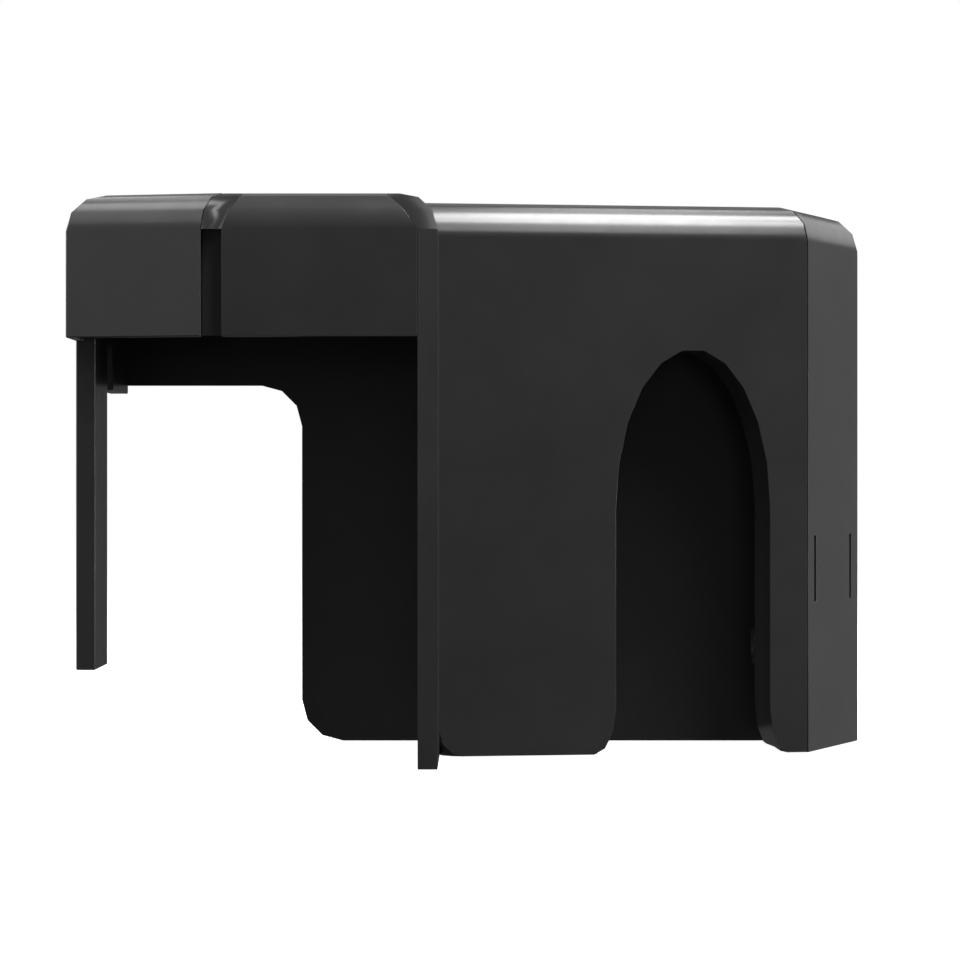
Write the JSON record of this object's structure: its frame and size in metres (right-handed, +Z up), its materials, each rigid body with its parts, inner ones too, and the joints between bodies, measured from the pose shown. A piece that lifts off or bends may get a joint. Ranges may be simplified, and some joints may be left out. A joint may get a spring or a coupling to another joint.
{
  "type": "mouse_trap",
  "caption": "Covered snap mouse trap with an arched entrance, an open hand bay and a press-down lever",
  "frame": {"origin": "middle of the footprint's bounding box, on the floor", "axes": "X to the right along the trap, Y from the arched front to the rear wall, Z up"},
  "size_m": [0.1256, 0.0616, 0.0873],
  "materials": {
    "black_plastic": "black moulded plastic with a fine satin grain",
    "working_plastic": "dark grey moulded plastic, satin",
    "steel": "bright drawn steel wire and pins"
  },
  "bodies": {
    "housing": {"front_shell": "black_plastic", "end_shell": "black_plastic", "rear_wall": "black_plastic", "centre_cheek": "black_plastic", "left_cheek": "black_plastic", "left_wing": "black_plastic", "side_leg": "black_plastic", "side_rail": "black_plastic", "lever_axle": "steel", "lever_spring": "steel", "striker_axle": "steel", "striker_spring": "steel", "stop_peg": "steel", "trigger_pin": "steel", "trigger_bracket": "working_plastic", "screw_wing": "steel", "screw_bay": "steel", "screw_tunnel": "steel", "screw_end_top": "steel", "screw_end_foot": "steel"},
    "lever": {"set_lever": "black_plastic"},
    "striker_arm": {"striker": "working_plastic", "strike_bar": "steel", "spring_arm": "steel"},
    "trigger": {"trigger_arm": "working_plastic", "bait_dish": "working_plastic"}
  },
  "joints": [
    {"name": "lever_press", "type": "hinge", "parent": "housing", "child": "lever", "pos_m": [-0.0242, 0.02425, 0.079], "axis": [1, 0, 0], "range_deg": [0, 5], "stiffness_Nm_per_rad": 0.012, "springref_deg": -28.65},
    {"name": "striker_swing", "type": "hinge", "parent": "housing", "child": "striker_arm", "pos_m": [0.00195, 0.017, 0.068], "axis": [0, 1, 0], "range_deg": [0, 60]},
    {"name": "trigger_swing", "type": "hinge", "parent": "housing", "child": "trigger", "pos_m": [0.04675, 0.019, 0.076], "axis": [0, -1, 0], "range_deg": [0, 3], "stiffness_Nm_per_rad": 0.001, "springref_deg": -17.19}
  ]
}
